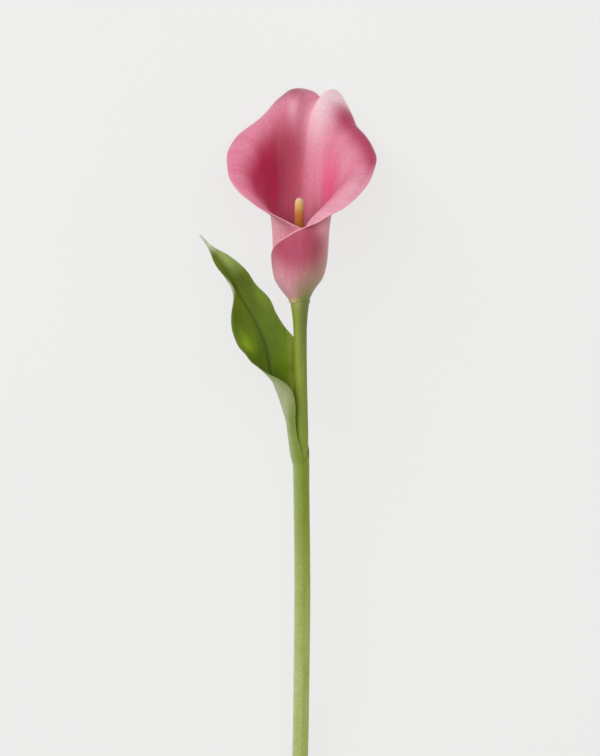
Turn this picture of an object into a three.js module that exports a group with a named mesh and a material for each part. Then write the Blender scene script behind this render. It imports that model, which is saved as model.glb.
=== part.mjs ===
// A single calla lily, cut and lying on a flat surface: a rolled spathe round a spadix, both
// on a bare scape, and one leaf whose sheath wraps the scape down to the cut end.
// Millimetres. +Z is up from the surface and +Y runs from the cut end to the flower.
// Everything is worked out with the flower's own axis as the line x = 0, z = 0 and the foot
// of the spathe at y = 0, and the finished group is then set down on the surface.

import * as THREE from "three";

// Driving dimensions
const CUT_END = -272; // y of the cut end
const REST_DEPTH = 38; // the surface lies this far under the flower's axis
const REST_PRESS = 0.03; // how hard the rolled shoulders press on the surface
const STEM_DROP = 34.22; // the scape's centre falls this far from the flower to the cut end
const STEM_FALL = 1.55; // the power by which it falls: the higher, the later
const SPATHE_THICK = 0.85;
const SPATHE_EDGE_THICK = 0.75;
const ROLL_STEP = 1.3; // how much further out each turn of the rolled spathe lies
const THROAT = 31; // height at which the spathe's rays leave the tube
const MIDRIB_TURN = 178; // the spathe's midrib and tip stand at this turn
const CREASE_DEPTH = 2.6; // depth of the keel along the midrib, near the tip
const CREASE_WIDTH = 9; // degrees of turn over which the keel dies away
const KEEL_LEAN = 4.3; // degrees of turn by which the keel bows to the right, half way up
const RAY_REACH = 0.42; // how far a ray keeps the tube's direction, as a share of its span
const RIM_REACH = 0.3; // how far it keeps the crest's direction
const SEAT_GAP = 0.35; // clearance between pieces that touch
const NECK_RADIUS = 2.2; // the scape's end inside the foot of the spathe
const NECK_TOP = 4;
const SPADIX_TIP = 50.3;
const FLORET_RELIEF = 0.14;
const SHEATH_MOUTH = -84; // y at which the leaf's sheath opens
const SHEATH_SLIT = 12; // degrees: where its two margins meet, from the front
const LEAF_THICK = 0.7;

// Turns are degrees round the flower's axis: 0 faces up, 90 is +X, 180 faces the surface.
// The spathe is one sheet, rolled from its outer margin to its inner one.
const OUTER_MARGIN = -150;
const INNER_MARGIN = 450;

// Radius of the middle of the spathe's wall, by height
const TUBE = [
  [0, 4.6],
  [1.5, 5.6],
  [4, 7.25],
  [6.5, 9],
  [9, 10.7],
  [11.5, 11.75],
  [14, 12.4],
  [18, 13.1],
  [24, 13.6],
  [31, 13.9],
  [40, 14.6],
];

// How far the tube stands beside the flower's axis, by height
const TUBE_SWAY = [
  [0, -0.5],
  [4, -1.1],
  [6.5, -1.1],
  [9, -0.85],
  [11.5, -0.65],
  [14, -0.5],
  [19, -0.35],
  [24, -0.3],
  [31, -0.2],
  [40, -0.2],
];

// Height of the margin where it is wrapped round the tube, by turn
const WRAP = [
  [-150, 3],
  [-130, 10.5],
  [-110, 16.5],
  [-85, 21.3],
  [-63, 25.4],
  [-46, 27.9],
  [-33, 29.5],
  [-21, 31.1],
  [-9, 32.9],
  [0, 34.2],
  [360, 34.2],
  [375, 31.5],
  [405, 23],
  [430, 12],
  [450, 3],
];

// The open rim: turn, x, y, z of the crest, curl, and the margin beyond the crest, as its
// length and the radius it is rolled to. The curl is the sheet's angle from +Y at the crest.
const RIM = [
  [0, 0, 34.2, 15, 12, 0, 6],
  [9, 2.8, 35.6, 15, 70, 1.2, 6],
  [18, 4.9, 38.2, 14.7, 90, 4.2, 9],
  [27, 8, 41.1, 14.6, 90, 5.4, 7.5],
  [36, 11.6, 44.1, 14.3, 90, 6.5, 6.9],
  [44, 14.6, 47.2, 13.2, 90, 7.7, 7],
  [52, 17.4, 50, 11.6, 90, 8.4, 7.9],
  [66, 23.4, 55.5, 7.5, 90, 7.7, 8.1],
  [80, 29.3, 61.5, 0.6, 90, 6.1, 8.5],
  [94, 34, 69, -8.2, 92, 4.4, 8],
  [108, 34.6, 77.5, -17.5, 104, 5, 6],
  [121, 30.8, 85.6, -24.5, 104, 7.6, 7],
  [133, 26.3, 92.4, -29.3, 100, 10.3, 7],
  [144, 23, 99.4, -32.4, 96, 11.6, 7],
  [154, 20.1, 105.3, -33, 92, 11, 6.8],
  [163, 16.9, 108.8, -32.5, 88, 9.8, 6.2],
  [171, 12.9, 106.6, -31.8, 88, 9, 6],
  [178, 10.4, 105, -31.5, 90, 11, 6],
  [186, 6.6, 107.4, -31.4, 90, 9, 6],
  [196, 1.5, 108.8, -31.3, 92, 9.5, 6.2],
  [208, -5.5, 107.7, -31.1, 94, 11, 7],
  [220, -11.5, 103.2, -31.5, 96, 12, 7.6],
  [231, -17.1, 96.7, -31.4, 100, 11.5, 7.6],
  [242, -24.1, 90.2, -26.3, 103, 9, 7],
  [254, -31.3, 83.9, -20.3, 102, 6, 6.5],
  [266, -34.1, 75.7, -14.5, 100, 3.4, 6],
  [278, -35.1, 67.6, -7.5, 95, 2, 6],
  [290, -34.3, 59.8, -1, 88, 1, 6],
  [302, -30.4, 52.6, 5, 78, 0, 6],
  [314, -24, 46.7, 9.5, 66, 0, 6],
  [327, -16.1, 42.5, 12.3, 52, 0, 6],
  [341, -8.7, 38.6, 13.8, 38, 0, 6],
  [352, -3.7, 36, 14, 24, 0, 6],
  [360, 0, 34.2, 13.8, 12, 0, 6],
];

// The scape's centreline beside the flower's axis, by y
const STEM_SWAY = [
  [CUT_END, -1.3],
  [-223, 0.05],
  [-200, 0.4],
  [-150, 0.9],
  [-126, 0.76],
  [-100, 0.47],
  [-90, 0.33],
  [-80, 0.32],
  [-70, 0.4],
  [-61, 0.38],
  [-48, 0.13],
  [-31, -0.15],
  [-12, -0.2],
  [0, -0.42],
];

// The scape's radius, by y
const SCAPE_RADIUS = [
  [CUT_END, 3],
  [-110, 3],
  [-96, 3.05],
  [-84, 3.12],
  [-74, 3.27],
  [-60, 3.38],
  [-17, 3.4],
  [-13, 3.55],
  [-10, 3.8],
  [-7, 4.12],
  [-4, 4.55],
  [0, 5],
];

// The leaf along its midrib: y, x of the midrib beside the scape, z beside the scape,
// twist of the blade, width of the front half, of the rear half, and the radius to which
// each half is rolled
const LEAF = [
  [-79, -4.8, 0, 0, 8, 15, 4.6, 4.75],
  [-74, -5.5, 0, 0, 7.6, 13.8, 4.8, 5],
  [-69, -6.1, 0, 0, 7.1, 13.5, 5, 5.4],
  [-62, -7, 0, 0, 7.4, 14.5, 5.2, 6],
  [-55, -8.6, 0, 3, 9.8, 16, 5.8, 7.2],
  [-49, -10.1, -0.2, 8, 11, 18, 6.5, 9.5],
  [-43, -12.4, -0.5, 22, 11.8, 19, 8, 14],
  [-37, -14.7, -1, 44, 11, 19, 11, 24],
  [-31, -15.9, -1.5, 62, 12.9, 18.5, 23, 40],
  [-25, -17, -2.2, 72, 14.4, 15.4, 26, 60],
  [-19, -19.2, -3, 77, 14.9, 12.3, 30, 60],
  [-12, -22.5, -4, 80, 14.1, 11.2, 32, 40],
  [-5, -26, -5.5, 82, 10.1, 11.4, 32, 32],
  [3, -30.4, -8, 82, 3.8, 9, 22, 26],
  [11, -34.4, -11, 80, 3.8, 7.8, 12, 20],
  [19, -39.9, -14, 77, 4.2, 5.1, 9, 15],
  [26, -45.6, -16.5, 75, 1.4, 1.5, 8, 12],
  [32.8, -51.2, -19.5, 72, 0.3, 0.3, 8, 8],
];

const SHEATH_OUTER = [
  [CUT_END, 4.05],
  [-200, 4.1],
  [-150, 4.12],
  [-110, 4.08],
  [-96, 4.1],
  [SHEATH_MOUTH, 4.22],
];

const rad = THREE.MathUtils.degToRad;
const lerp = THREE.MathUtils.lerp;

// A smooth curve through rows of [key, value, value, ...], read at one key
function keyed(rows, key) {
  const last = rows.length - 2;
  let i = 0;
  while (i < last && key > rows[i + 1][0]) i++;
  const slope = (k, c) => {
    const a = rows[Math.max(k - 1, 0)];
    const b = rows[Math.min(k + 1, rows.length - 1)];
    return (b[c] - a[c]) / (b[0] - a[0]);
  };
  const [from, to] = [rows[i], rows[i + 1]];
  const span = to[0] - from[0];
  const t = THREE.MathUtils.clamp((key - from[0]) / span, 0, 1);
  const [t2, t3] = [t * t, t * t * t];
  return from.slice(1).map((value, k) => {
    const c = k + 1;
    return (
      (2 * t3 - 3 * t2 + 1) * value +
      (t3 - 2 * t2 + t) * span * slope(i, c) +
      (3 * t2 - 2 * t3) * to[c] +
      (t3 - t2) * span * slope(i + 1, c)
    );
  });
}

// The direction square to a sheet, at one place of its grid of points. Where a row is
// closed, its last column is its first one again.
function sheetNormal(grid, i, j, closed = false) {
  const last = grid[0].length - 1;
  const before = j === 0 && closed ? last - 1 : Math.max(j - 1, 0);
  const after = j === last && closed ? 1 : Math.min(j + 1, last);
  const across = grid[i][after].clone().sub(grid[i][before]);
  const above = grid[Math.min(i + 1, grid.length - 1)][j];
  const below = grid[Math.max(i - 1, 0)][j];
  return across.cross(above.clone().sub(below)).normalize();
}

// A closed solid from a grid of points on the middle of a sheet, thick on both sides of it
function sheetSolid(grid, thickness, closed = () => false) {
  const rows = grid.length;
  const columns = grid[0].length;
  const positions = [];
  const index = [];
  const vertex = [[], []];
  grid.forEach((row, i) =>
    row.forEach((point, j) => {
      const normal = sheetNormal(grid, i, j, closed(i));
      [1, -1].forEach((side, face) => {
        const id = i * columns + j;
        if (closed(i) && j === columns - 1) {
          vertex[face][id] = vertex[face][i * columns];
          return;
        }
        vertex[face][id] = positions.length / 3;
        const p = point.clone().addScaledVector(normal, (side * thickness(i, j)) / 2);
        positions.push(p.x, p.y, Math.max(p.z, -REST_DEPTH));
      });
    }),
  );
  const quad = (a, b, c, d) => index.push(a, b, c, a, c, d);
  const v = (face, i, j) => vertex[face][i * columns + j];
  for (let i = 0; i < rows - 1; i++) {
    for (let j = 0; j < columns - 1; j++) {
      quad(v(0, i, j), v(0, i, j + 1), v(0, i + 1, j + 1), v(0, i + 1, j));
      const [a, b, c, d] = [v(1, i, j), v(1, i, j + 1), v(1, i + 1, j + 1), v(1, i + 1, j)];
      index.push(a, c, b, a, d, c);
    }
    if (!(closed(i) && closed(i + 1))) {
      quad(v(0, i, 0), v(0, i + 1, 0), v(1, i + 1, 0), v(1, i, 0));
      const e = columns - 1;
      quad(v(0, i + 1, e), v(0, i, e), v(1, i, e), v(1, i + 1, e));
    }
  }
  for (let j = 0; j < columns - 1; j++) {
    quad(v(0, 0, j + 1), v(0, 0, j), v(1, 0, j), v(1, 0, j + 1));
    const e = rows - 1;
    quad(v(0, e, j), v(0, e, j + 1), v(1, e, j + 1), v(1, e, j));
  }
  return new THREE.BufferGeometry()
    .setAttribute("position", new THREE.Float32BufferAttribute(positions, 3))
    .setIndex(index);
}

// A closed solid from rings of points, each with as many points, capped at both ends
function ringSolid(rings) {
  const sides = rings[0].length;
  const positions = rings.flat().flatMap((p) => [p.x, p.y, p.z]);
  const index = [];
  for (let i = 0; i < rings.length - 1; i++) {
    for (let j = 0; j < sides; j++) {
      const k = (j + 1) % sides;
      const [a, b] = [i * sides + j, i * sides + k];
      index.push(a, b, b + sides, a, b + sides, a + sides);
    }
  }
  [0, rings.length - 1].forEach((ring, end) => {
    const middle = rings[ring]
      .reduce((sum, p) => sum.add(p), new THREE.Vector3())
      .divideScalar(sides);
    const hub = positions.length / 3;
    positions.push(middle.x, middle.y, middle.z);
    for (let j = 0; j < sides; j++) {
      const [a, b] = [ring * sides + j, ring * sides + ((j + 1) % sides)];
      index.push(...(end ? [hub, a, b] : [hub, b, a]));
    }
  });
  return new THREE.BufferGeometry()
    .setAttribute("position", new THREE.Float32BufferAttribute(positions, 3))
    .setIndex(index);
}

// Centre of the scape and the two directions across it, at one y
function stemFrame(y) {
  const centre = (at) => {
    const share = Math.min(Math.max(at / CUT_END, 0), 1);
    const x = keyed(STEM_SWAY, at)[0];
    return new THREE.Vector3(x, at, -STEM_DROP * Math.pow(share, STEM_FALL));
  };
  const along = centre(Math.min(y + 1, 0))
    .sub(centre(Math.max(y - 1, CUT_END)))
    .normalize();
  if (y > -4) along.set(0, 1, 0);
  const right = new THREE.Vector3(1, 0, 0).addScaledVector(along, -along.x).normalize();
  const front = new THREE.Vector3().crossVectors(right, along);
  return { centre: centre(y), along, right, front };
}

// The middle of the tube's wall at one turn and height
function tubePoint(turn, height) {
  const spiral = (ROLL_STEP * (150 - turn)) / 360;
  const radius = keyed(TUBE, height)[0] + spiral;
  return new THREE.Vector3(
    radius * Math.sin(rad(turn)) + keyed(TUBE_SWAY, height)[0],
    height,
    radius * Math.cos(rad(turn)),
  );
}

// Places along a ray, closer together at its foot and at its margin
function endShare(share) {
  const CROWDING = 0.45;
  return share - (CROWDING * Math.sin(2 * Math.PI * share)) / (2 * Math.PI);
}

// One ray of the spathe, from its foot to the margin
function spatheRay(turn, steps) {
  const open = turn > 0 && turn < 360;
  const rim = keyed(RIM, turn);
  const top = open ? THROAT : keyed(WRAP, turn)[0];
  const path = [];
  const TUBE_STEPS = 24;
  for (let k = 0; k <= TUBE_STEPS; k++) {
    path.push(tubePoint(turn, (top * k) / TUBE_STEPS));
  }
  if (open) {
    const from = path[TUBE_STEPS];
    const rise = from.clone().sub(path[TUBE_STEPS - 1]).normalize();
    const to = new THREE.Vector3(rim[0], rim[1], rim[2]);
    const reach = to.distanceTo(from);
    const out = new THREE.Vector3(to.x - from.x, 0, to.z - from.z).normalize();
    const heading = (degrees) =>
      new THREE.Vector3(0, Math.cos(rad(degrees)), 0).addScaledVector(out, Math.sin(rad(degrees)));
    const end = heading(rim[3]);
    const curve = new THREE.CubicBezierCurve3(
      from,
      from.clone().addScaledVector(rise, reach * RAY_REACH),
      to.clone().addScaledVector(end, -reach * RIM_REACH),
      to,
    );
    path.push(...curve.getPoints(40).slice(1));
    const ROLL_STEPS = 12;
    const stride = rim[4] / ROLL_STEPS;
    for (let k = 0; k < ROLL_STEPS; k++) {
      const degrees = rim[3] + THREE.MathUtils.radToDeg(((k + 0.5) * stride) / rim[5]);
      path.push(path[path.length - 1].clone().addScaledVector(heading(degrees), stride));
    }
  }
  const lengths = [0];
  for (let k = 1; k < path.length; k++) {
    lengths.push(lengths[k - 1] + path[k].distanceTo(path[k - 1]));
  }
  const total = lengths[lengths.length - 1];
  const points = [];
  let k = 0;
  for (let j = 0; j <= steps; j++) {
    const want = total * endShare(j / steps);
    while (k < path.length - 2 && lengths[k + 1] < want) k++;
    const share = (want - lengths[k]) / (lengths[k + 1] - lengths[k]);
    points.push(path[k].clone().lerp(path[k + 1], Math.min(share, 1)));
  }
  return points;
}

// The turns at which the spathe's rays stand, closer together near its midrib
function spatheTurns(count) {
  const turns = [];
  for (let k = 0; k <= count; k++) {
    const s = (2 * k) / count - 1;
    const side = s < 0 ? MIDRIB_TURN - OUTER_MARGIN : INNER_MARGIN - MIDRIB_TURN;
    turns.push(MIDRIB_TURN + Math.sign(s) * side * Math.pow(Math.abs(s), 1.25));
  }
  return turns;
}

// How far the keel pushes the sheet outwards, at one turn and share of the ray
function crease(turn, share) {
  const { smoothstep } = THREE.MathUtils;
  const bow = smoothstep(share, 0.35, 0.65) * (1 - smoothstep(share, 0.68, 0.84));
  const near = Math.exp(-Math.abs(turn - MIDRIB_TURN + KEEL_LEAN * bow) / CREASE_WIDTH);
  return CREASE_DEPTH * near * smoothstep(share, 0.35, 0.85) * (1 - smoothstep(share, 0.88, 1));
}

function spathe() {
  const RAYS = 66;
  const STEPS = 28;
  const turns = spatheTurns(RAYS);
  const rays = turns.map((turn) => spatheRay(turn, STEPS));
  const smooth = Array.from({ length: STEPS + 1 }, (_, j) => rays.map((ray) => ray[j]));
  const thickness = (j) => lerp(SPATHE_THICK, SPATHE_EDGE_THICK, Math.pow(j / STEPS, 3));
  const grid = smooth.map((row, j) =>
    row.map((point, i) => {
      const keel = crease(turns[i], endShare(j / STEPS));
      const creased = point.clone().addScaledVector(sheetNormal(smooth, j, i), keel);
      // the rolled shoulders lie flat where they rest
      creased.z = Math.max(creased.z, thickness(j) / 2 - REST_DEPTH - REST_PRESS);
      return creased;
    }),
  );
  return sheetSolid(grid, thickness);
}

function ring(centre, right, front, radius, sides) {
  return Array.from({ length: sides }, (_, j) =>
    centre
      .clone()
      .addScaledVector(right, radius * Math.sin((2 * Math.PI * j) / sides))
      .addScaledVector(front, radius * Math.cos((2 * Math.PI * j) / sides)),
  );
}

function scape() {
  const SIDES = 18;
  const STATIONS = [CUT_END, -262, -250, -236, -222, -208, -194, -180, -166, -152, -138, -124, -110]
    .concat([-100, -92, -84, -76, -66, -56, -46, -36, -28, -20, -16, -13, -10, -7, -5, -3, -1.5]);
  const rings = STATIONS.map((y) => {
    const { centre, right, front } = stemFrame(y);
    return ring(centre, right, front, keyed(SCAPE_RADIUS, y)[0], SIDES);
  });
  const { centre: foot, right, front } = stemFrame(0);
  const shoulder = keyed(SCAPE_RADIUS, 0)[0];
  for (const [y, radius] of [
    [-SEAT_GAP, shoulder],
    [-SEAT_GAP, NECK_RADIUS + 0.1],
    [NECK_TOP * 0.5, NECK_RADIUS],
    [NECK_TOP, NECK_RADIUS - 0.1],
  ]) {
    rings.push(ring(foot.clone().setY(y), right, front, radius, SIDES));
  }
  return ringSolid(rings);
}

function spadix() {
  const SIDES = 18;
  const ROWS = 42;
  const foot = NECK_TOP + SEAT_GAP;
  const length = SPADIX_TIP - foot;
  const right = new THREE.Vector3(1, 0, 0);
  const front = new THREE.Vector3(0, 0, 1);
  const profile = [
    [0, 2],
    [0.12, 2.5],
    [0.5, 2.6],
    [0.85, 2.35],
    [1, 2.1],
  ];
  const rings = [];
  for (let i = 0; i <= ROWS; i++) {
    const share = i / ROWS;
    const y = foot + length * share;
    const left = SPADIX_TIP - y;
    const dome = Math.sqrt(Math.max(1 - Math.pow(Math.max(1 - left / 2.6, 0), 2), 0.01));
    const body = keyed(profile, share)[0] * dome;
    const lean = new THREE.Vector3(-0.8 + 0.3 * share, y, 0.8 * share * share);
    const points = ring(lean, right, front, 1, SIDES).map((p, j) => {
      const bump = i > 0 && i < ROWS ? FLORET_RELIEF * ((i + j) % 2 ? 1 : -1) * dome : 0;
      return p.sub(lean).multiplyScalar(body + bump).add(lean);
    });
    rings.push(points);
  }
  return ringSolid(rings);
}

// One row of the leaf, from its front margin across the midrib to its rear margin
function leafRow(midrib, along, twist, widths, radii, half) {
  const e1 = new THREE.Vector3(1, 0, 0).addScaledVector(along, -along.x).normalize();
  const e2 = new THREE.Vector3().crossVectors(e1, along);
  const [c, s] = [Math.cos(rad(twist)), Math.sin(rad(twist))];
  const under = e1.clone().multiplyScalar(-c).addScaledVector(e2, -s);
  const ahead = e2.clone().multiplyScalar(c).addScaledVector(e1, -s);
  const points = [];
  for (let j = -half; j <= half; j++) {
    const side = j < 0 ? 0 : 1;
    const arc = (Math.abs(j) / half) * widths[side];
    const bend = arc / radii[side];
    points.push(
      midrib
        .clone()
        .addScaledVector(ahead, (side ? -1 : 1) * radii[side] * Math.sin(bend))
        .addScaledVector(under, -radii[side] * (1 - Math.cos(bend))),
    );
  }
  return points;
}

function leaf() {
  const HALF = 9;
  const SHEATH_ROWS = 13;
  const BLADE_ROWS = 36;
  const grid = [];
  for (let i = 0; i <= SHEATH_ROWS; i++) {
    const y = lerp(CUT_END, SHEATH_MOUTH, i / SHEATH_ROWS);
    const { centre, along, right } = stemFrame(y);
    const outer = keyed(SHEATH_OUTER, y)[0];
    const radius = outer - LEAF_THICK / 2;
    const midrib = centre.clone().addScaledVector(right, -radius);
    const front = rad(90 + SHEATH_SLIT) * radius;
    const rear = rad(270 - SHEATH_SLIT) * radius;
    grid.push(leafRow(midrib, along, 0, [front, rear], [radius, radius], HALF));
  }
  const closedRows = grid.length;
  const top = LEAF[LEAF.length - 1][0];
  const place = (y) => {
    const row = keyed([sheathEnd(), ...LEAF], y);
    const centre = stemFrame(Math.min(y, 0)).centre;
    return { row, midrib: new THREE.Vector3(row[0], y, centre.z + row[1]) };
  };
  for (let i = 1; i <= BLADE_ROWS; i++) {
    const y = lerp(SHEATH_MOUTH, top, i / BLADE_ROWS);
    const { row, midrib } = place(y);
    const along = place(Math.min(y + 0.5, top))
      .midrib.sub(place(Math.max(y - 0.5, SHEATH_MOUTH)).midrib)
      .normalize();
    grid.push(leafRow(midrib, along, row[2], [row[3], row[4]], [row[5], row[6]], HALF));
  }
  return sheetSolid(grid, () => LEAF_THICK, (i) => i < closedRows);
}

function sheathEnd() {
  const radius = keyed(SHEATH_OUTER, SHEATH_MOUTH)[0] - LEAF_THICK / 2;
  const sway = stemFrame(SHEATH_MOUTH).centre.x;
  const front = rad(90 + SHEATH_SLIT) * radius;
  const rear = rad(270 - SHEATH_SLIT) * radius;
  return [SHEATH_MOUTH, sway - radius, 0, 0, front, rear, radius, radius];
}

function piece(name, geometry, color, roughness) {
  geometry.computeVertexNormals();
  const material = new THREE.MeshStandardMaterial({ color, roughness, metalness: 0 });
  const mesh = new THREE.Mesh(geometry, material);
  mesh.name = name;
  return mesh;
}

const flower = new THREE.Group();
flower.add(
  piece("spathe", spathe(), 0xd4688f, 0.45),
  piece("spadix", spadix(), 0xdfa64a, 0.7),
  piece("scape", scape(), 0x7f9440, 0.5),
  piece("leaf", leaf(), 0x557a22, 0.5),
);

const box = new THREE.Box3().setFromObject(flower);
const middle = box.getCenter(new THREE.Vector3());
flower.position.set(-middle.x, -middle.y, -box.min.z);

export default flower;
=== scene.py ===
import math

import bpy
import numpy as np
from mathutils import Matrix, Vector


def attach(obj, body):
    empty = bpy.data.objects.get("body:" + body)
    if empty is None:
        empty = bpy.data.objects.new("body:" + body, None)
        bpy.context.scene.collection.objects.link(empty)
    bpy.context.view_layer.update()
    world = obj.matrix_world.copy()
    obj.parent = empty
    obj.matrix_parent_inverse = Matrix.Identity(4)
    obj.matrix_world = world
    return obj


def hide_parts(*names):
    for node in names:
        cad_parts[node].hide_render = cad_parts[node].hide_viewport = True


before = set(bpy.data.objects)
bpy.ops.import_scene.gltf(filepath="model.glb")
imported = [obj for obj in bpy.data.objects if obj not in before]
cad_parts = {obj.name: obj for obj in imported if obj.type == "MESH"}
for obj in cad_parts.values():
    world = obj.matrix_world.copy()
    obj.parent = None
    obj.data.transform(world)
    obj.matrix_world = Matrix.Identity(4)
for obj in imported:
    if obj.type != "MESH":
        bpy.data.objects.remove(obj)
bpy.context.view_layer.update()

# Every piece is worked out in millimetres, with the flower's own axis as the line x = 0, z = 0 and the
# foot of the spathe at y = 0. add_piece sets it down in the frame, in metres.
MILLIMETRE = 0.001
CUT_END = -272  # y of the cut end
REST_DEPTH = 38  # the surface lies this far under the flower's axis
REST_PRESS = 0.03  # how hard the rolled shoulders press on the surface
FLOWER_AT = (6.4962, 81.9184, REST_DEPTH)  # where the foot of the spathe stands in the frame
STEM_DROP = 34.22  # the scape's centre falls this far from the flower to the cut end
STEM_FALL = 1.55  # the power by which it falls: the higher, the later
STEM_LEVEL = (-7, -2)  # the scape turns level with the flower's axis between these y
ROLL_STEP = 1.3  # how much further out each turn of the rolled spathe lies
ROLL_START = 150  # the turn at which the tube has the radius of its table
THROAT = 31  # height at which the spathe's rays leave the tube
MIDRIB_TURN = 178  # the spathe's midrib and tip stand at this turn
CREASE_DEPTH = 2.6  # depth of the keel along the midrib, near the tip
CREASE_WIDTH = 9  # degrees of turn over which the keel dies away
KEEL_LEAN = 4.3  # degrees of turn by which the keel bows to the right, half way up
RAY_REACH = 0.42  # how far a ray keeps the tube's direction, as a share of its span
RIM_REACH = 0.3  # how far it keeps the crest's direction
END_CROWDING = 0.45  # how much closer together the points of a ray stand at its ends
MIDRIB_CROWDING = 1.25  # the power by which the rays crowd towards the midrib
COLLAR_DROP = 1.9  # how far the spathe's outer layer runs down over the scape
COLLAR_GAP = 0.22  # how far outside the scape it lies there
COLLAR_TOP = 0.6  # height at which it has left the scape
COLLAR_WAVES = [(0.6, 2, 200), (0.25, 7, 0)]  # of its lower margin: height, number round, degrees ahead
RIPPLES = [(0.28, 9, 0), (0.18, 17, 40)]  # of the open rim
SPATHE_THICK = 0.85
EDGE_THINNING = 0.42  # how much thinner the spathe is at its margin
VEIN_LEAN = 0.8  # degrees of turn by which its veins lean, for each millimetre up the front
DEGREES_PER_VEIN = 3.3
SEAT_GAP = 0.35  # clearance between pieces that touch
NECK_RADIUS = 2.2  # the scape's end inside the foot of the spathe
NECK_TOP = 4
CUT_RADIUS = 2.92  # the rings of the scape's cut face are shares of this
SPADIX_TIP = 50.3
DOME_LENGTH = 2.6  # the spadix rounds off over this length
DOME_END = 0.06  # to a flat end with this share of its radius
FLORET_RELIEF = 0.13
FLORET_SPIRALS = [(13, 6.3), (8, -7.45), (21, -1.15)]  # waves in a full turn, radians a millimetre
SHEATH_MOUTH = -84  # y at which the leaf's sheath opens
SHEATH_SLIT = 12  # degrees: where its two margins meet, from the front
LEAF_THICK = 0.7
SLIT_SHARE = 0.35  # each of the leaf's facing margins may round off into this share of their gap
APEX_ROOM = 0.02  # and into this much where they meet

# Turns are degrees round the flower's axis: 0 faces up, 90 is +X, 180 faces the surface.
# The spathe is one sheet, rolled from its outer margin to its inner one.
OUTER_MARGIN = -150
INNER_MARGIN = 450

# Radius of the middle of the spathe's wall, by height
TUBE = [
    [0, 4.6], [1.5, 5.6], [4, 7.25], [6.5, 9], [9, 10.7], [11.5, 11.75], [14, 12.4], [18, 13.1], [24, 13.6],
    [31, 13.9], [40, 14.6],
]
# How far the tube stands beside the flower's axis, by height
TUBE_SWAY = [
    [0, -0.5], [4, -1.1], [6.5, -1.1], [9, -0.85], [11.5, -0.65], [14, -0.5], [19, -0.35], [24, -0.3],
    [31, -0.2], [40, -0.2],
]
# Height of the margin where it is wrapped round the tube, by turn
WRAP = [
    [-150, 3], [-130, 10.5], [-110, 16.5], [-85, 21.3], [-63, 25.4], [-46, 27.9], [-33, 29.5], [-21, 31.1],
    [-9, 32.9], [0, 34.2], [360, 34.2], [375, 31.5], [405, 23], [430, 12], [450, 3],
]
# The open rim: turn, x, y, z of the crest, curl, and the margin beyond the crest, as its length and
# the radius it is rolled to. The curl is the sheet's angle from +Y at the crest.
RIM = [
    [0, 0, 34.2, 15, 12, 0, 6], [9, 2.8, 35.6, 15, 70, 1.2, 6], [18, 4.9, 38.2, 14.7, 90, 4.2, 9],
    [27, 8, 41.1, 14.6, 90, 5.4, 7.5], [36, 11.6, 44.1, 14.3, 90, 6.5, 6.9],
    [44, 14.6, 47.2, 13.2, 90, 7.7, 7], [52, 17.4, 50, 11.6, 90, 8.4, 7.9],
    [66, 23.4, 55.5, 7.5, 90, 7.7, 8.1], [80, 29.3, 61.5, 0.6, 90, 6.1, 8.5],
    [94, 34, 69, -8.2, 92, 4.4, 8], [108, 34.6, 77.5, -17.5, 104, 5, 6],
    [121, 30.8, 85.6, -24.5, 104, 7.6, 7], [133, 26.3, 92.4, -29.3, 100, 10.3, 7],
    [144, 23, 99.4, -32.4, 96, 11.6, 7], [154, 20.1, 105.3, -33, 92, 11, 6.8],
    [163, 16.9, 108.8, -32.5, 88, 9.8, 6.2], [171, 12.9, 106.6, -31.8, 88, 9, 6],
    [178, 10.4, 105, -31.5, 90, 11, 6], [186, 6.6, 107.4, -31.4, 90, 9, 6],
    [196, 1.5, 108.8, -31.3, 92, 9.5, 6.2], [208, -5.5, 107.7, -31.1, 94, 11, 7],
    [220, -11.5, 103.2, -31.5, 96, 12, 7.6], [231, -17.1, 96.7, -31.4, 100, 11.5, 7.6],
    [242, -24.1, 90.2, -26.3, 103, 9, 7], [254, -31.3, 83.9, -20.3, 102, 6, 6.5],
    [266, -34.1, 75.7, -14.5, 100, 3.4, 6], [278, -35.1, 67.6, -7.5, 95, 2, 6],
    [290, -34.3, 59.8, -1, 88, 1, 6], [302, -30.4, 52.6, 5, 78, 0, 6], [314, -24, 46.7, 9.5, 66, 0, 6],
    [327, -16.1, 42.5, 12.3, 52, 0, 6], [341, -8.7, 38.6, 13.8, 38, 0, 6], [352, -3.7, 36, 14, 24, 0, 6],
    [360, 0, 34.2, 13.8, 12, 0, 6],
]
# The scape's centreline beside the flower's axis, by y
STEM_SWAY = [
    [CUT_END, -1.3], [-223, 0.05], [-200, 0.4], [-150, 0.9], [-126, 0.76], [-100, 0.47], [-90, 0.33],
    [-80, 0.32], [-70, 0.4], [-61, 0.38], [-48, 0.13], [-31, -0.15], [-12, -0.2], [0, -0.42],
]
# The scape's radius, by y
SCAPE_RADIUS = [
    [CUT_END, 3], [-110, 3], [-96, 3.05], [-84, 3.12], [-74, 3.27], [-60, 3.38], [-17, 3.4], [-13, 3.55],
    [-10, 3.8], [-7, 4.12], [-4, 4.55], [0, 5],
]
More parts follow.
